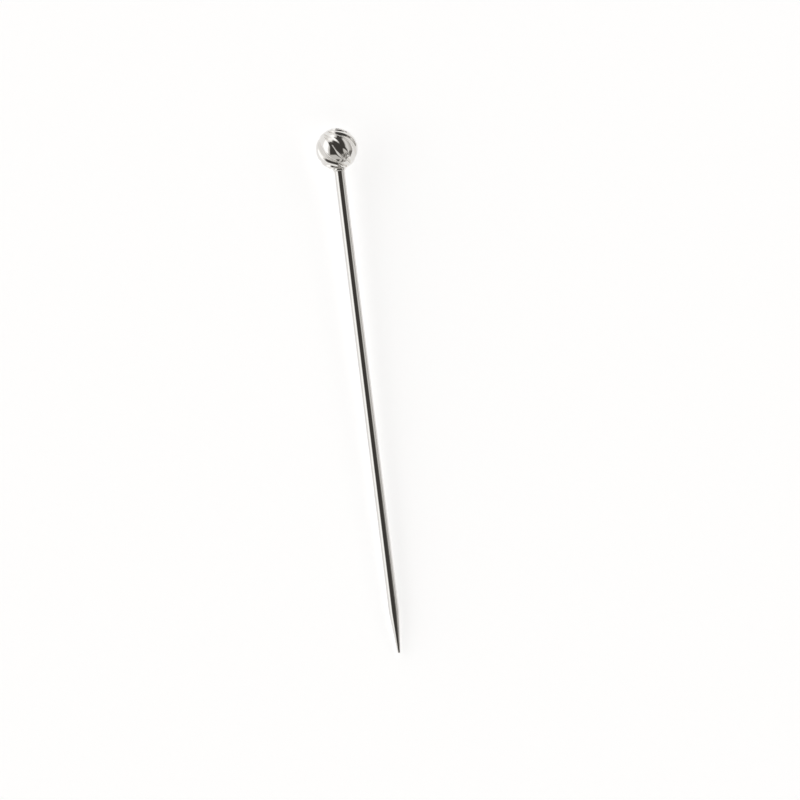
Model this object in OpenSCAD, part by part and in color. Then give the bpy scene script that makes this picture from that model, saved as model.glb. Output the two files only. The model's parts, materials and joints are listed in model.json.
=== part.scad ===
// Cocktail pick: a cast ball with twisted lobes on the end of a pointed round rod.
// The rod's end is turned down to a spigot, which is soldered into the ball's socket.
// The pick lies as it comes to rest on a table: on two lobes of its ball and on the end of
// its rod.
// +Y is the ball end, +Z is up and the table is at z = 0. Sizes are in millimetres.

/* [Whole pick] */
// Length from the crown of the ball to the point
overall_l = 127; // [90:1:160]

/* [Ball] */
// Diameter over the crests of the lobes
ball_d = 10; // [8:0.1:14]
// Number of lobes around the ball
lobe_count = 6; // [4:1:9]
// Depth of the grooves between the lobes
groove_depth = 0.44; // [0.1:0.01:0.6]
// Share of a lobe that its crest takes
crest_share = 0.36; // [0.1:0.01:0.45]
// Share of a lobe that the floor of the groove takes
floor_share = 0.2; // [0.05:0.01:0.25]
// Degrees that a lobe turns about the axis for each degree of latitude, at the waist
waist_twist = 0.5; // [0:0.05:1]
// Degrees that a lobe turns further between the waist and each end
end_twist = 235; // [0:5:240]
// Latitude at which the grooves begin to fade towards each end
fade_start = 73; // [50:1:80]

/* [Bead under the ball] */
// How far the bead stands out beyond the rod
bead_step = 0.3; // [0.2:0.05:0.6]
// Height of the bead along the pick, most of it between the ends of the lobes
bead_h = 0.9; // [0.6:0.05:1.4]
// How far the bead reaches below the ball
bead_drop = 0.25; // [0.1:0.05:0.6]
// How far the bead's lower edge stands out beyond the rod
seam_step = 0.1; // [0.04:0.01:0.18]

/* [Rod] */
// Diameter of the rod
rod_d = 2.5; // [2:0.05:3.2]
// Length of the taper that ends in the point
taper_l = 10; // [5:0.5:20]
// Radius of the rounded point
point_r = 0.35; // [0.2:0.05:0.6]

/* [Solder joint] */
// Diameter of the spigot that enters the ball
spigot_d = 1.6; // [1.2:0.05:1.8]
// Length of the spigot, from the rod's shoulder
spigot_l = 5.5; // [3:0.1:6.5]
// Gap left for solder between the spigot and the socket's wall
solder_gap = 0.03; // [0.01:0.01:0.08]
// Gap left between the spigot's end and the socket's floor
socket_end_gap = 0.2; // [0.1:0.05:0.5]

/* [Hidden] */

metal = [0.8, 0.8, 0.79];
faces_per_lobe = 16;
latitude_bands = 44;
round_faces = 72;
arc_steps = 10;
socket_overlap = 0.5;
bead_overlap = 1;
roll_halvings = 14;

ball_r = ball_d / 2;
rod_r = rod_d / 2;
seam_r = rod_r + seam_step;
bead_r = rod_r + bead_step;
spigot_r = spigot_d / 2;
socket_r = spigot_r + solder_gap;

// Heights along the pick, from the centre of the ball, with the crown at the top
shoulder = -ball_r - bead_drop;
bead_middle = shoulder + bead_h / 2;
bead_top = shoulder + bead_h;
spigot_end = shoulder + spigot_l;
socket_floor = spigot_end + socket_end_gap;
point_end = ball_r - overall_l;
point_centre = point_end + point_r;
taper_start = point_end + taper_l;

// Slope of the taper, which runs on smoothly from the rounded point
point_reach = norm([rod_r, taper_start - point_centre]);
taper_slope = atan2(rod_r, taper_start - point_centre) - asin(point_r / point_reach);

// Longitude that a lobe has gained at a latitude: it runs down to the right from the crown
function lobe_turn(latitude) = -waist_twist * latitude - end_twist * pow(latitude / 90, 3);

// Share of the full depth that the grooves keep at a latitude
function groove_fade(latitude) =
    let (past = max(0, abs(latitude) - fade_start) / (90 - fade_start))
    1 - past * past;

// Share of the full depth across a lobe, from the middle of its crest to that of the next:
// half the crest, a sloping side, the groove's floor, the other side and half the next crest
side_share = (1 - crest_share - floor_share) / 2;
function eased(share) = (1 - cos(180 * min(1, max(0, share)))) / 2;
function groove_profile(across) =
    eased((min(across, 1 - across) - crest_share / 2) / side_share);

function ball_point(column, latitude) =
    let (
        across = (column % faces_per_lobe) / faces_per_lobe,
        longitude = column * 360 / column_count + lobe_turn(latitude),
        radius = ball_r - groove_depth * groove_fade(latitude) * groove_profile(across)
    )
    radius * [
        cos(latitude) * cos(longitude),
        cos(latitude) * sin(longitude),
        sin(latitude)
    ];

// The ball's points: the lower pole, rings of points going up, and the crown
column_count = lobe_count * faces_per_lobe;
ring_count = latitude_bands - 1;
crown_index = ring_count * column_count + 1;
ball_points = [
    [0, 0, -ball_r],
    for (ring = [1 : ring_count], column = [0 : column_count - 1])
        ball_point(column, -90 + 180 * ring / latitude_bands),
    [0, 0, ball_r]
];

function ring_index(ring, column) = 1 + (ring - 1) * column_count + column % column_count;

ball_faces = [
    for (column = [0 : column_count - 1])
        [0, ring_index(1, column), ring_index(1, column + 1)],
    for (ring = [1 : ring_count - 1], column = [0 : column_count - 1])
        let (
            low = ring_index(ring, column),
            low_next = ring_index(ring, column + 1),
            high = ring_index(ring + 1, column),
            high_next = ring_index(ring + 1, column + 1)
        )
        each [[low, high, high_next], [low, high_next, low_next]],
    for (column = [0 : column_count - 1])
        [crown_index, ring_index(ring_count, column + 1), ring_index(ring_count, column)]
];

// Turning a point of the upright pick about its axis, then laying the pick down
function turned(p, roll) =
    [p.x * cos(roll) - p.y * sin(roll), p.x * sin(roll) + p.y * cos(roll), p.z];

function laid(p, tilt) =
    [p.x, p.y * sin(tilt) + p.z * cos(tilt), p.z * sin(tilt) - p.y * cos(tilt)];

function laid_points(tilt, roll) = [for (p = ball_points) laid(turned(p, roll), tilt)];

// How far the ball reaches below its centre on the +X side (side = 1) or the -X side (-1)
function reach(tilt, roll, side) =
    -min([for (p = laid_points(tilt, roll)) if (p.x * side > 0) p.z]);

// The roll at which the lobes of both sides reach equally low, found by halving the span
function level_roll(tilt, low, high, halvings) =
    let (
        middle = (low + high) / 2,
        right_lower = reach(tilt, middle, 1) > reach(tilt, middle, -1)
    )
    halvings == 0 ? middle
    : right_lower ? level_roll(tilt, low, middle, halvings - 1)
    : level_roll(tilt, middle, high, halvings - 1);

// The level roll lies near the one that puts the middle between two crests straight below
function rest_roll(tilt) =
    let (
        middle = 90 - lobe_turn(-tilt) - 180 / lobe_count,
        span = 90 / lobe_count
    )
    level_roll(tilt, middle - span, middle + span, roll_halvings);

// The tilt that brings the lobes and the rod's lower end down to one table. The rod bears
// there on the edge where its taper starts, or on its point if the taper is very slight.
function edge_tilt(height) =
    asin(height / norm([taper_start, rod_r])) - atan2(rod_r, -taper_start);
function point_tilt(height) = asin((height - point_r) / -point_centre);
function tilt_for(height) = min(edge_tilt(height), point_tilt(height));

first_tilt = tilt_for(ball_r);
pick_roll = rest_roll(first_tilt);
pick_tilt = tilt_for(reach(first_tilt, pick_roll, 1));

placed = laid_points(pick_tilt, pick_roll);
placed_x = [for (p = placed) p.x];
placed_y = [for (p = placed) p.y];
centre_x = (min(placed_x) + max(placed_x)) / 2;
centre_y = (max(placed_y) + point_centre * cos(pick_tilt) - point_r) / 2;
centre_height = -min([for (p = placed) p.z]);

module at_rest() {
    translate([-centre_x, -centre_y, centre_height])
        rotate([pick_tilt - 90, 0, 0])
            rotate([0, 0, pick_roll])
                children();
}

module turned_profile(profile) {
    rotate_extrude($fn = round_faces)
        polygon(profile);
}

module lobed_ball() {
    polyhedron(points = ball_points, faces = ball_faces, convexity = 4);
}

module bead() {
    turned_profile([
        [0, bead_top + bead_overlap],
        [seam_r, bead_top + bead_overlap],
        for (step = [0 : arc_steps])
            let (angle = 90 - 180 * step / arc_steps)
            [seam_r + (bead_r - seam_r) * cos(angle), bead_middle + bead_h / 2 * sin(angle)],
        [0, shoulder]
    ]);
}

module socket() {
    translate([0, 0, shoulder - socket_overlap])
        cylinder(r = socket_r, h = socket_floor - shoulder + socket_overlap, $fn = round_faces);
}

module head() {
    color(metal)
        at_rest()
            difference() {
                union() {
                    lobed_ball();
                    bead();
                }
                socket();
            }
}

module rod() {
    color(metal)
        at_rest()
            turned_profile([
                for (step = [0 : arc_steps])
                    let (angle = -90 + (90 - taper_slope) * step / arc_steps)
                    [point_r * cos(angle), point_centre + point_r * sin(angle)],
                [rod_r, taper_start],
                [rod_r, shoulder],
                [spigot_r, shoulder],
                [spigot_r, spigot_end],
                [0, spigot_end]
            ]);
}

head();
rod();
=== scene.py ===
import json
import math

import bpy
from bpy.props import FloatProperty, FloatVectorProperty, IntProperty, PointerProperty
from mathutils import Matrix, Vector


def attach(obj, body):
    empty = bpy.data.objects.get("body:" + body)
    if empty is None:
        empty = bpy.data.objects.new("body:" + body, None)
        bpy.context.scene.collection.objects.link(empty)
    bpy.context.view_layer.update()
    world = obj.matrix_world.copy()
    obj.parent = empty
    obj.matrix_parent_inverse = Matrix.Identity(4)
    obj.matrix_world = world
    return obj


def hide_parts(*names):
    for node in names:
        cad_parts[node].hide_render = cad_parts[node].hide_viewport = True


bl_info = {
    "name": "Cocktail Pick",
    "version": (1, 0, 0),
    "blender": (4, 5, 0),
    "location": "3D View > Sidebar > Cocktail Pick",
    "description": "Makes a polished pick with a ball of twisted lobes, and its studio",
    "category": "Add Mesh",
}

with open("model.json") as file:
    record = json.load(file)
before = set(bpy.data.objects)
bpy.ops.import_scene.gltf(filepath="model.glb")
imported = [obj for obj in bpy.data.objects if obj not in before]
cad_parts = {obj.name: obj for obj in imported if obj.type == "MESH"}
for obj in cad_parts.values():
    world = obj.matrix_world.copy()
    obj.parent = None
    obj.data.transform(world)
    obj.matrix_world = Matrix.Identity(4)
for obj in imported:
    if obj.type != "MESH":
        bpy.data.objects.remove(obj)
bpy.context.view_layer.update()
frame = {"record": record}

MM = 0.001
PIN = frame["record"]["mounts"][0]
UP_THE_PICK = -Vector(PIN["axis"]).normalized()
PIN_MIDDLE = Vector(PIN["pos_m"])

# Fineness of the meshes
COLUMNS_PER_LOBE = 32
BALL_RINGS = 144
BEAD_COLUMNS = 144
BEAD_STEPS = 24
ROD_COLUMNS = 128
POINT_STEPS = 12
BEVEL_STEPS = 4
FEWEST_HEAD_FACES = 20000
MERGE_DISTANCE = 1e-8
SAME_HEIGHT = 1e-7

# Edges sharper than these stay sharp under smooth shading
HEAD_EDGE = math.radians(35)
ROD_EDGE = math.radians(50)

BEAD_OVERLAP = 1 * MM
# Share of the grooves' painted shade and dullness that the bead and its neck are given
BEAD_SHADE_AND_DULLNESS = 0.3

# Roughness that the cloudy parts of the polish add, the share of its colour that the rod
# keeps in its faint lines, and its waves as a share of those that casting leaves
BALL_HAZE = 0.04
ROD_HAZE = 0.03
LINE_SHADE = 0.93
DRAWN_WAVES = 0.3

FLOOR_SIZE = 4
NEAREST_SEEN = 0.01
WHITE = (1, 1, 1, 1)


# ---------------------------------------------------------------- sizes and colours


class PickBallSizes(bpy.types.PropertyGroup):
    """Sizes of the ball of twisted lobes"""

    diameter: FloatProperty(
        name="Diameter", description="Over the crests of the lobes",
        default=10 * MM, subtype="DISTANCE", unit="LENGTH",
    )
    skin: FloatProperty(
        name="Skin", description="How far the fine surface stays inside the plain solid",
        default=0.013 * MM, subtype="DISTANCE", unit="LENGTH",
    )
    lobes: IntProperty(name="Lobes", description="Number of lobes", default=6, min=4, max=9)
    groove_depth: FloatProperty(
        name="Groove Depth", description="Depth of the grooves between the lobes",
        default=0.44 * MM, subtype="DISTANCE", unit="LENGTH",
    )
    crest_share: FloatProperty(
        name="Crest", description="Share of a lobe that its crest takes",
        default=0.36, subtype="FACTOR",
    )
    floor_share: FloatProperty(
        name="Groove Floor", description="Share of a lobe that the groove's floor takes",
        default=0.2, subtype="FACTOR",
    )
    waist_twist: FloatProperty(
        name="Waist Twist", description="Turn of a lobe for each degree of latitude",
        default=0.5,
    )
    end_twist: FloatProperty(
        name="End Twist", description="Further turn between the waist and each end",
        default=math.radians(235), subtype="ANGLE",
    )
    fade_start: FloatProperty(
        name="Fade Start", description="Latitude at which the grooves begin to fade",
        default=math.radians(73), subtype="ANGLE",
    )
    roll: FloatProperty(
        name="Roll", description="Turn about the pick's axis in which two lobes bear",
        default=math.radians(58.856), subtype="ANGLE",
    )


class PickBeadSizes(bpy.types.PropertyGroup):
    """Sizes of the bead under the ball"""

    step: FloatProperty(
        name="Step", description="How far the bead stands out beyond the rod",
        default=0.3 * MM, subtype="DISTANCE", unit="LENGTH",
    )
    height: FloatProperty(
        name="Height", description="Along the pick, most of it between the lobes' ends",
        default=0.9 * MM, subtype="DISTANCE", unit="LENGTH",
    )
    drop: FloatProperty(
        name="Drop", description="How far the bead reaches below the ball",
        default=0.25 * MM, subtype="DISTANCE", unit="LENGTH",
    )
    seam_step: FloatProperty(
        name="Seam Step", description="How far its lower edge stands out beyond the rod",
        default=0.1 * MM, subtype="DISTANCE", unit="LENGTH",
    )


class PickRodSizes(bpy.types.PropertyGroup):
    """Sizes of the rod"""

    diameter: FloatProperty(
        name="Diameter", description="Of the plain length of the rod",
        default=2.5 * MM, subtype="DISTANCE", unit="LENGTH",
    )
    pick_length: FloatProperty(
        name="Pick Length", description="From the crown of the ball to the point",
        default=127 * MM, subtype="DISTANCE", unit="LENGTH",
    )
    taper_length: FloatProperty(
        name="Taper Length", description="Of the taper that ends in the point",
        default=10 * MM, subtype="DISTANCE", unit="LENGTH",
    )
    point_radius: FloatProperty(
        name="Point Radius", description="Of the rounded point",
        default=0.35 * MM, subtype="DISTANCE", unit="LENGTH",
    )
    edge_bevel: FloatProperty(
        name="Edge Bevel", description="Broken edge where the rod meets the bead",
        default=0.05 * MM, subtype="DISTANCE", unit="LENGTH",
    )


class PickFinish(bpy.types.PropertyGroup):
    """Colours and polish of the metal"""

    metal: FloatVectorProperty(
        name="Metal", description="Colour of the polished metal",
        default=(0.775, 0.76, 0.735), subtype="COLOR", min=0, max=1,
    )
    # painted shade: the colour at the bottom of the grooves is darker, standing in for the
    # shade that falls there
    groove: FloatVectorProperty(
        name="Groove", description="Colour at the bottom of the grooves",
        default=(0.69, 0.67, 0.64), subtype="COLOR", min=0, max=1,
    )
    wire: FloatVectorProperty(
        name="Wire", description="Colour of the rod",
        default=(0.74, 0.725, 0.70), subtype="COLOR", min=0, max=1,
    )
    ball_roughness: FloatProperty(
        name="Ball Roughness", description="Of the crests of the lobes",
        default=0.05, subtype="FACTOR",
    )
    groove_roughness: FloatProperty(
        name="Groove Roughness", description="At the bottom of the grooves",
        default=0.16, subtype="FACTOR",
    )
    rod_roughness: FloatProperty(
        name="Rod Roughness", description="Of the drawn and polished rod",
        default=0.07, subtype="FACTOR",
    )
    cast_waves: FloatProperty(
        name="Cast Waves", description="Height of the soft waves that casting leaves",
        default=0.010 * MM, subtype="DISTANCE", unit="LENGTH",
    )
    scratches: FloatProperty(
        name="Scratches", description="Height of the fine polishing marks",
        default=0.0004 * MM, subtype="DISTANCE", unit="LENGTH",
    )


class PickStudio(bpy.types.PropertyGroup):
    """Floor, light and camera"""

    floor_colour: FloatVectorProperty(
        name="Floor", description="Colour of the floor",
        default=(0.88, 0.88, 0.88), subtype="COLOR", min=0, max=1,
    )
    floor_lift: FloatProperty(
        name="Floor Lift", description="Light that the floor shows on top of what falls on it",
        default=0.69,
    )
    room_light: FloatProperty(
        name="Room Light", description="Light of the studio's walls between the panels",
        default=0.74,
    )
    dark_tint: FloatVectorProperty(
        name="Dark Tint", description="Tint of the darkest part of the studio",
        default=(1.06, 1.00, 0.92), subtype="COLOR", min=0, max=2,
    )
    camera_turn: FloatProperty(
        name="Camera Turn", description="Turn of the camera about the pick's axis",
        default=math.radians(-9.3), subtype="ANGLE",
    )
    camera_height: FloatProperty(
        name="Camera Height", description="Elevation of the camera in the upright studio",
        default=math.radians(10.5), subtype="ANGLE",
    )
    side_lean: FloatProperty(
        name="Side Lean", description="Lean of the pick to the right in the upright studio",
        default=math.radians(-7.1), subtype="ANGLE",
    )
    back_lean: FloatProperty(
        name="Back Lean", description="Lean of the pick away from the camera",
        default=math.radians(8), subtype="ANGLE",
    )
    lens: FloatProperty(name="Lens", description="Focal length in millimetres", default=150)
    distance: FloatProperty(
        name="Distance", description="From the camera to the ball",
        default=0.8, subtype="DISTANCE", unit="LENGTH",
    )
    ball_across: FloatProperty(
        name="Ball Across", description="Place of the ball across the picture",
        default=336.7 / 800, subtype="FACTOR",
    )
    ball_down: FloatProperty(
        name="Ball Down", description="Place of the ball down the picture",
        default=149.2 / 800, subtype="FACTOR",
    )
    ball_width: FloatProperty(
        name="Ball Width", description="Width of the ball as a share of the picture",
        default=41.8 / 800, subtype="FACTOR",
    )


SETTINGS = {
    "pick_ball": PickBallSizes,
    "pick_bead": PickBeadSizes,
    "pick_rod": PickRodSizes,
    "pick_finish": PickFinish,
    "pick_studio": PickStudio,
}


# ---------------------------------------------------------------- shader expressions


class Value:
    """A shader socket that takes part in arithmetic."""

    def __init__(self, maker, socket):
        self.maker = maker
        self.socket = socket

    def math(self, operation, *others):
        inputs = dict(enumerate((self,) + others))
        return self.maker.node("Math", {"operation": operation}, inputs)

    def reflected(self, operation, other):
        return self.maker.node("Math", {"operation": operation}, {0: other, 1: self})

    def __add__(self, other):
        return self.math("ADD", other)

    def __sub__(self, other):
        return self.math("SUBTRACT", other)

    def __mul__(self, other):
        return self.math("MULTIPLY", other)

    __radd__ = __add__
    __rmul__ = __mul__

    def __rsub__(self, other):
        return self.reflected("SUBTRACT", other)

    def towards(self, other, share):
        """This value moved towards another by a share."""
        return self + (other - self) * share

    def dot(self, direction):
        settings = {"operation": "DOT_PRODUCT"}
        return self.maker.node("VectorMath", settings, {0: self, 1: direction}, "Value")

    def rise(self, edge, width):
        """0 below an edge and 1 above it, with a soft step of a width."""
        ends = {"From Min": edge - width / 2, "From Max": edge + width / 2}
        return self.maker.node(
            "MapRange", {"interpolation_type": "SMOOTHSTEP"}, {"Value": self, **ends}
        )

    def between(self, low, high, width):
        """1 between two edges and 0 outside them, with soft steps of a width."""
        return self.rise(low, width) * (1 - self.rise(high, width))


class ShaderMaker:
    """Adds nodes to one node tree."""

    def __init__(self, tree):
        self.tree = tree
        tree.nodes.clear()

    def node(self, kind, settings=None, inputs=None, output=0):
        """Adds a node with settings and sockets' values or links, and gives one output."""
        made = self.tree.nodes.new("ShaderNode" + kind)
        for name, setting in (settings or {}).items():
            setattr(made, name, setting)
        for name, given in (inputs or {}).items():
            if isinstance(given, Value):
                self.tree.links.new(given.socket, made.inputs[name])
            else:
                made.inputs[name].default_value = given
        return Value(self, made.outputs[output]) if made.outputs else None

    def mix(self, share, first, second):
        """A colour mixed from two."""
        settings = {"data_type": "RGBA"}
        inputs = {0: share, 6: first, 7: second}
        return self.node("Mix", settings, inputs, 2)


def new_material(name):
    material = bpy.data.materials.new(name)
    material.use_nodes = True
    return material, ShaderMaker(material.node_tree)


def polished(maker, colour, roughness, waves, wave_height, marks, mark_height):
    """Ends a material in polished metal with soft waves and fine marks."""
    wavy = maker.node(
        "Bump", None, {"Height": waves, "Strength": 1.0, "Distance": wave_height}
    )
    marked = maker.node(
        "Bump", None,
        {"Height": marks, "Strength": 1.0, "Distance": mark_height, "Normal": wavy},
    )
    shader = maker.node(
        "BsdfPrincipled", None,
        {"Base Color": colour, "Metallic": 1.0, "Roughness": roughness, "Normal": marked},
    )
    maker.node("OutputMaterial", None, {"Surface": shader})


def noise(maker, place, per_metre, detail):
    """Soft noise with so many waves in a metre."""
    inputs = {"Vector": place, "Scale": per_metre, "Detail": detail}
    return maker.node("TexNoise", None, inputs)


def head_material(finish):
    """Cast and polished metal, duller in its grooves, whose colour is darkened there with
    painted shade.
    """
    material, maker = new_material("polished cast metal")
    place = maker.node("TexCoord", None, None, "Object")
    depth = maker.node("Attribute", {"attribute_name": "groove"}, None, "Fac")
    cloud = noise(maker, place, per_metre=700.0, detail=2.0)
    waves = noise(maker, place, per_metre=520.0, detail=1.0)
    marks = noise(maker, place, per_metre=9000.0, detail=3.0)
    # painted shade: the colour darkens into the grooves where shade falls, and the same mask
    # makes them rougher
    shaded_and_dull = depth.rise(edge=0.75, width=0.5) * (0.6 + 0.8 * cloud)
    colour = maker.mix(shaded_and_dull, (*finish.metal, 1), (*finish.groove, 1))
    span = finish.groove_roughness - finish.ball_roughness
    haze = BALL_HAZE * cloud.rise(edge=0.6, width=0.3)
    roughness = finish.ball_roughness + span * shaded_and_dull + haze
    polished(maker, colour, roughness, waves, finish.cast_waves, marks, finish.scratches)
    return material


def rod_material(finish, tilt):
    """Drawn and polished wire, with faint lines along it."""
    material, maker = new_material("polished drawn wire")
    place = maker.node("TexCoord", None, None, "Object")
    lying = maker.node("Mapping", None, {"Vector": place, "Rotation": (-tilt, 0, 0)})
    across, along = 6000.0, 25.0
    stretched = {"Vector": lying, "Scale": (across, along, across)}
    lines = noise(maker, maker.node("Mapping", None, stretched), per_metre=1.0, detail=3.0)
    cloud = noise(maker, place, per_metre=260.0, detail=2.0)
    waves = noise(maker, place, per_metre=120.0, detail=1.0)
    cloudy, lined = cloud.rise(edge=0.55, width=0.4), lines.rise(edge=0.6, width=0.3)
    shade = cloudy * 0.5 + lined * 0.5
    darker = tuple(part * LINE_SHADE for part in finish.wire)
    colour = maker.mix(shade, (*finish.wire, 1), (*darker, 1))
    roughness = finish.rod_roughness + ROD_HAZE * shade
    drawn_waves = finish.cast_waves * DRAWN_WAVES
    polished(maker, colour, roughness, waves, drawn_waves, lines, finish.scratches)
    return material


# ---------------------------------------------------------------- the shape of a lobe


def eased(share):
    """A smooth step from 0 to 1."""
    return (1 - math.cos(math.pi * min(1, max(0, share)))) / 2


def lobe_turn(ball, latitude):
    """Longitude that a lobe has gained at a latitude."""
    return -ball.waist_twist * latitude - ball.end_twist * (latitude / (math.pi / 2)) ** 3


def groove_share(ball, across, latitude):
    """Share of the groove's depth, across a lobe from its crest and at a latitude."""
    side_share = (1 - ball.crest_share - ball.floor_share) / 2
    down = eased((min(across, 1 - across) - ball.crest_share / 2) / side_share)
    past = max(0, abs(latitude) - ball.fade_start) / (math.pi / 2 - ball.fade_start)
    return down * (1 - past * past)


# ---------------------------------------------------------------- modelling helpers


def deselect_all():
    if bpy.context.mode != "OBJECT":
        bpy.ops.object.mode_set(mode="OBJECT")
    bpy.ops.object.select_all(action="DESELECT")


def select_ring(piece, height, mode):
    """In edit mode, selects the faces or edges that the vertices at one height bound."""
    bpy.ops.mesh.select_mode(type="VERT")
    bpy.ops.mesh.select_all(action="DESELECT")
    bpy.ops.object.mode_set(mode="OBJECT")
    for vertex in piece.data.vertices:
        vertex.select = abs(vertex.co.z - height) < SAME_HEIGHT
    bpy.ops.object.mode_set(mode="EDIT")
    bpy.ops.mesh.select_mode(type=mode)


def extrude_to(rings):
    """Extrudes the selected end face through rings of (height, radius) along the axis."""
    height, radius = rings[0]
    for next_height, next_radius in rings[1:]:
        bpy.ops.mesh.extrude_region_move(
            TRANSFORM_OT_translate={"value": (0, 0, next_height - height)}
        )
        size = next_radius / radius
        bpy.ops.transform.resize(value=(size, size, 1), center_override=(0, 0, next_height))
        height, radius = next_height, next_radius


def outward():
    """Merges the active piece's doubles and turns all its faces outwards."""
    bpy.ops.object.mode_set(mode="EDIT")
    bpy.ops.mesh.select_all(action="SELECT")
    bpy.ops.mesh.remove_doubles(threshold=MERGE_DISTANCE)
    bpy.ops.mesh.normals_make_consistent(inside=False)
    bpy.ops.object.mode_set(mode="OBJECT")


def lay_down(piece, ball, bead, rod):
    """Turns an upright piece about its axis, lays it along the pick and applies its place."""
    piece.matrix_world = resting(ball, bead, rod)
    bpy.ops.object.transform_apply(location=True, rotation=True, scale=True)


def dress(piece, name, material, node):
    """Names a piece, gives it its material and ties it to the frame."""
    piece.name = name
    piece.data.name = name
    piece.data.materials.clear()
    piece.data.materials.append(material)
    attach(piece, "root")
    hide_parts(node)


# ---------------------------------------------------------------- heights along the pick


def pick_heights(ball, bead, rod):
    """Heights from the ball's centre, with the crown at the top."""
    shoulder = -ball.diameter / 2 - bead.drop
    point_end = ball.diameter / 2 - rod.pick_length
    return {
        "bead_top": shoulder + bead.height,
        "shoulder": shoulder,
        "taper_start": point_end + rod.taper_length,
        "point_end": point_end,
    }


def ball_centre(ball, bead, rod):
    """Where the ball's centre lies, from the plain length of the rod."""
    heights = pick_heights(ball, bead, rod)
    middle = (heights["shoulder"] + heights["taper_start"]) / 2
    return PIN_MIDDLE - UP_THE_PICK * middle


def lying_axes():
    """Right, down and along the pick, as the columns of a turn from upright to lying."""
    right = Vector((1, 0, 0))
    return Matrix((right, UP_THE_PICK.cross(right), UP_THE_PICK)).transposed()


def resting(ball, bead, rod):
    """The place of the lying pick: its roll, its lie and its ball's centre."""
    turn = lying_axes() @ Matrix.Rotation(ball.roll, 3, "Z")
    return Matrix.Translation(ball_centre(ball, bead, rod)) @ turn.to_4x4()


# ---------------------------------------------------------------- pieces


class PICK_OT_head(bpy.types.Operator):
    """Makes the ball of twisted lobes with the bead under it"""

    bl_idname = "cocktail_pick.head"
    bl_label = "Make Head"

    def execute(self, context):
        scene = context.scene
        ball, bead, rod = scene.pick_ball, scene.pick_bead, scene.pick_rod
        head = self.ball_alone(context, ball)
        ring = self.bead_alone(context, ball, bead, rod)

        deselect_all()
        head.select_set(True)
        context.view_layer.objects.active = head
        outward()
        bpy.ops.object.modifier_add(type="BOOLEAN")
        union = head.modifiers[-1]
        union.operation = "UNION"
        union.solver = "EXACT"
        union.object = ring
        bpy.ops.object.modifier_apply(modifier=union.name)
        bpy.data.objects.remove(ring)
        if len(head.data.polygons) < FEWEST_HEAD_FACES:
            raise RuntimeError("the ball and the bead did not join")

        # the groove attribute carries the mask of painted shade and dullness that the head's
        # material reads
        groove = head.data.attributes.new("groove", "FLOAT", "POINT")
        for vertex, depth in zip(head.data.vertices, groove.data):
            depth.value = self.shade_and_dullness_at(vertex.co, ball, rod.diameter / 2 + bead.step)
        bpy.ops.object.shade_smooth_by_angle(angle=HEAD_EDGE)
        lay_down(head, ball, bead, rod)
        dress(head, "lobed_head", head_material(scene.pick_finish), "head")
        return {"FINISHED"}

    @staticmethod
    def ball_alone(context, ball):
        """A fine sphere with its points moved onto the twisted lobes."""
        radius = ball.diameter / 2 - ball.skin
        deselect_all()
        bpy.ops.mesh.primitive_uv_sphere_add(
            segments=ball.lobes * COLUMNS_PER_LOBE, ring_count=BALL_RINGS, radius=radius
        )
        head = context.active_object
        for vertex in head.data.vertices:
            latitude = math.asin(min(1, max(-1, vertex.co.z / radius)))
            longitude = math.atan2(vertex.co.y, vertex.co.x)
            across = (longitude * ball.lobes / math.tau) % 1
            reach = radius - ball.groove_depth * groove_share(ball, across, latitude)
            longitude += lobe_turn(ball, latitude)
            vertex.co = reach * Vector((
                math.cos(latitude) * math.cos(longitude),
                math.cos(latitude) * math.sin(longitude),
                math.sin(latitude),
            ))
        return head

    @staticmethod
    def bead_alone(context, ball, bead, rod):
        """The bead, extruded ring by ring from its lower face up into the ball."""
        heights = pick_heights(ball, bead, rod)
        seam_radius = rod.diameter / 2 + bead.seam_step
        swell = bead.step - bead.seam_step
        half = bead.height / 2
        rings = []
        for step in range(BEAD_STEPS + 1):
            angle = math.pi * (step / BEAD_STEPS - 0.5)
            rings.append((
                heights["bead_top"] - half + half * math.sin(angle),
                seam_radius + swell * math.cos(angle),
            ))
        rings.append((heights["bead_top"] + BEAD_OVERLAP, seam_radius))
        deselect_all()
        bpy.ops.mesh.primitive_circle_add(
            vertices=BEAD_COLUMNS, radius=seam_radius, fill_type="NGON",
            location=(0, 0, heights["shoulder"]),
        )
        bpy.ops.object.transform_apply(location=True, rotation=True, scale=True)
        bpy.ops.object.mode_set(mode="EDIT")
        bpy.ops.mesh.select_all(action="SELECT")
        extrude_to(rings)
        bpy.ops.object.mode_set(mode="OBJECT")
        outward()
        return context.active_object

    @staticmethod
    def shade_and_dullness_at(place, ball, bead_radius):
        """How much painted shade and dullness the head gets at a point: in its grooves, most
        of all at their floor.
        """
        if math.hypot(place.x, place.y) < bead_radius:
            return BEAD_SHADE_AND_DULLNESS
        latitude = math.asin(min(1, max(-1, place.z / place.length)))
        longitude = math.atan2(place.y, place.x) - lobe_turn(ball, latitude)
        across = (longitude * ball.lobes / math.tau) % 1
        return groove_share(ball, across, latitude)


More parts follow.
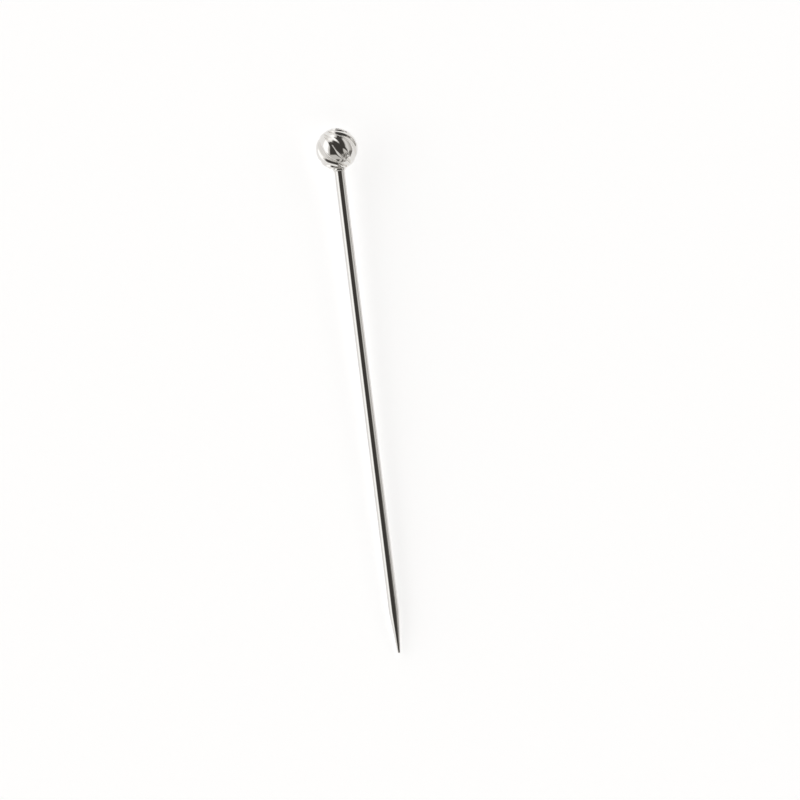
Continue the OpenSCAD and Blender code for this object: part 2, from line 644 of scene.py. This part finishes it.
class PICK_OT_rod(bpy.types.Operator):
    """Makes the plain round rod with its taper and rounded point"""

    bl_idname = "cocktail_pick.rod"
    bl_label = "Make Rod"

    def execute(self, context):
        scene = context.scene
        ball, bead, rod = scene.pick_ball, scene.pick_bead, scene.pick_rod
        heights = pick_heights(ball, bead, rod)
        top, start, end = heights["shoulder"], heights["taper_start"], heights["point_end"]

        deselect_all()
        bpy.ops.mesh.primitive_cylinder_add(
            vertices=ROD_COLUMNS, radius=rod.diameter / 2, depth=top - start,
            location=(0, 0, (top + start) / 2),
        )
        made = context.active_object
        bpy.ops.object.transform_apply(location=True, rotation=True, scale=True)

        bpy.ops.object.mode_set(mode="EDIT")
        select_ring(made, start, "FACE")
        extrude_to(self.point_rings(rod, start, end))
        bpy.ops.mesh.merge(type="CENTER")
        bpy.ops.object.mode_set(mode="OBJECT")
        # the last ring is now one point on the axis, which goes down to the tip
        for vertex in made.data.vertices:
            if math.hypot(vertex.co.x, vertex.co.y) < MERGE_DISTANCE:
                vertex.co.z = end

        bpy.ops.object.mode_set(mode="EDIT")
        select_ring(made, top, "EDGE")
        bpy.ops.mesh.bevel(offset=rod.edge_bevel, segments=BEVEL_STEPS)
        bpy.ops.object.mode_set(mode="OBJECT")
        outward()
        bpy.ops.object.shade_smooth_by_angle(angle=ROD_EDGE)
        lay_down(made, ball, bead, rod)
        tilt = math.atan2(UP_THE_PICK.z, UP_THE_PICK.y)
        dress(made, "pointed_rod", rod_material(scene.pick_finish, tilt), "rod")
        return {"FINISHED"}

    @staticmethod
    def point_rings(rod, start, end):
        """Rings from the start of the taper down and round the point, short of its tip."""
        radius = rod.diameter / 2
        centre = end + rod.point_radius
        reach = math.hypot(radius, start - centre)
        slope = math.atan2(radius, start - centre) - math.asin(rod.point_radius / reach)
        rings = [(start, radius)]
        for step in range(POINT_STEPS):
            angle = -slope - (math.pi / 2 - slope) * step / POINT_STEPS
            rings.append((
                centre + rod.point_radius * math.sin(angle),
                rod.point_radius * math.cos(angle),
            ))
        return rings


# ---------------------------------------------------------------- studio


def studio_axes(studio):
    """Right, back and up of the upright studio, as columns in the lying frame."""
    upright = Matrix.Rotation(studio.side_lean, 3, "Y") @ Matrix.Rotation(
        -studio.back_lean, 3, "X"
    )
    turn = Matrix.Rotation(studio.camera_turn, 3, "Z")
    return lying_axes() @ turn @ upright.transposed()


def floor_material(studio):
    """A plain pale floor that shows as white and keeps the shadow."""
    material, maker = new_material("pale floor")
    seen = [
        maker.node("LightPath", None, None, ray)
        for ray in ("Is Camera Ray", "Is Glossy Ray", "Is Transmission Ray")
    ]
    shown = seen[0].math("MAXIMUM", seen[1]).math("MAXIMUM", seen[2])
    matt = maker.node("BsdfDiffuse", None, {"Color": (*studio.floor_colour, 1)})
    lift = maker.node("Emission", None, {"Strength": shown * studio.floor_lift})
    both = maker.node("AddShader", None, {0: matt, 1: lift})
    maker.node("OutputMaterial", None, {"Surface": both})
    return material


# The studio's panels, each in front of those before it: the light that it shows, its span of
# azimuth, where the camera stands at 0 and + is to the right, and its span of elevation. A
# span has its low end, its high end and the width of its soft edges, all in degrees. An end
# past the full circle is open.
OPEN = 400
EVERYWHERE = (-OPEN, OPEN, 1)
PANELS = (
    # grey walls on the right, from beside the dark room to the back
    (0.40, (46, OPEN, 8), EVERYWHERE),
    (0.82, (56, OPEN, 16), EVERYWHERE),
    (0.46, (78, OPEN, 28), EVERYWHERE),
    # the large soft box on the left and the paler wall behind it
    (1.35, (-OPEN, -48, 8), (-37, 81, 8)),
    (0.88, (-OPEN, -116, 14), (-37, 81, 8)),
    # the table below and the ceiling
    (0.62, EVERYWHERE, (-OPEN, -19, 12)),
    (0.08, (-3, OPEN, 20), (60, OPEN, 10)),
    # dark stands on the right
    (0.12, (47, 62, 4), (-76, 6, 8)),
    (0.17, (74, 98, 4), (-68, -4, 8)),
    # the shadow under the camera's table
    (0.05, (-5, 25, 6), (-OPEN, -51, 6)),
    # the dark room behind the camera, and its wider upper part
    (0.055, (-38, 45, 7), (-25, 73, 7)),
    (0.055, (38, 52, 7), (21, 75, 7)),
)


def studio_world(studio):
    """Soft white and grey panels round a dark opening behind the camera."""
    world = bpy.data.worlds.new("soft studio")
    world.use_nodes = True
    maker = ShaderMaker(world.node_tree)
    right, back, up = studio_axes(studio).transposed()
    direction = maker.node("TexCoord", None, None, "Generated")
    across, away = direction.dot(right), direction.dot(back)
    azimuth = across.math("ARCTAN2", away * -1).math("DEGREES")
    height = direction.dot(up).math("ARCSINE").math("DEGREES")

    light = away * 0 + studio.room_light  # the same all round, as a socket
    for shown, around, upward in PANELS:
        light = light.towards(shown, azimuth.between(*around) * height.between(*upward))

    tint = maker.mix(light, (*studio.dark_tint, 1), WHITE)
    lit = maker.node("VectorMath", {"operation": "SCALE"}, {0: tint, "Scale": light})
    behind = maker.node("LightPath", None, None, "Is Camera Ray")
    colour = maker.mix(behind, lit, WHITE)
    panel = maker.node("Background", None, {"Color": colour, "Strength": 1.0})
    maker.node("OutputWorld", None, {"Surface": panel})
    return world


class PICK_OT_studio(bpy.types.Operator):
    """Makes the floor, the light and the camera"""

    bl_idname = "cocktail_pick.studio"
    bl_label = "Make Studio"

    def execute(self, context):
        scene = context.scene
        studio = scene.pick_studio
        deselect_all()
        bpy.ops.mesh.primitive_plane_add(size=FLOOR_SIZE)
        floor = context.active_object
        floor.name = "floor"
        floor.data.materials.append(floor_material(studio))
        scene.world = studio_world(studio)
        scene.view_settings.view_transform = "Standard"

        axes = studio_axes(studio)
        height = studio.camera_height
        right = axes @ Vector((1, 0, 0))
        up = axes @ Vector((0, math.sin(height), math.cos(height)))
        back = axes @ Vector((0, -math.cos(height), math.sin(height)))
        ball = scene.pick_ball
        picture = ball.diameter / studio.ball_width
        aim = ball_centre(ball, scene.pick_bead, scene.pick_rod)
        aim += right * picture * (0.5 - studio.ball_across)
        aim -= up * picture * (0.5 - studio.ball_down)
        bpy.ops.object.camera_add()
        camera = context.active_object
        camera.name = "camera"
        camera.data.lens = studio.lens
        camera.data.sensor_width = picture * studio.lens / studio.distance
        camera.data.clip_start = NEAREST_SEEN
        turn = Matrix((right, up, back)).transposed().to_4x4()
        camera.matrix_world = Matrix.Translation(aim + back * studio.distance) @ turn
        scene.camera = camera
        return {"FINISHED"}


class VIEW3D_PT_cocktail_pick(bpy.types.Panel):
    """Sizes, colours and the pieces they make"""

    bl_label = "Cocktail Pick"
    bl_space_type = "VIEW_3D"
    bl_region_type = "UI"
    bl_category = "Cocktail Pick"

    def draw(self, context):
        layout = self.layout
        for name, group in SETTINGS.items():
            box = layout.box()
            for size in group.__annotations__:
                box.prop(getattr(context.scene, name), size)
        for operator in (PICK_OT_head, PICK_OT_rod, PICK_OT_studio):
            layout.operator(operator.bl_idname)


CLASSES = (*SETTINGS.values(), PICK_OT_head, PICK_OT_rod, PICK_OT_studio,
           VIEW3D_PT_cocktail_pick)


def register():
    for made in CLASSES:
        bpy.utils.register_class(made)
    for name, group in SETTINGS.items():
        setattr(bpy.types.Scene, name, PointerProperty(type=group))


def unregister():
    for name in SETTINGS:
        delattr(bpy.types.Scene, name)
    for made in reversed(CLASSES):
        bpy.utils.unregister_class(made)


def main():
    register()
    bpy.ops.cocktail_pick.head()
    bpy.ops.cocktail_pick.rod()
    bpy.ops.cocktail_pick.studio()


if __name__ == "__main__":
    main()
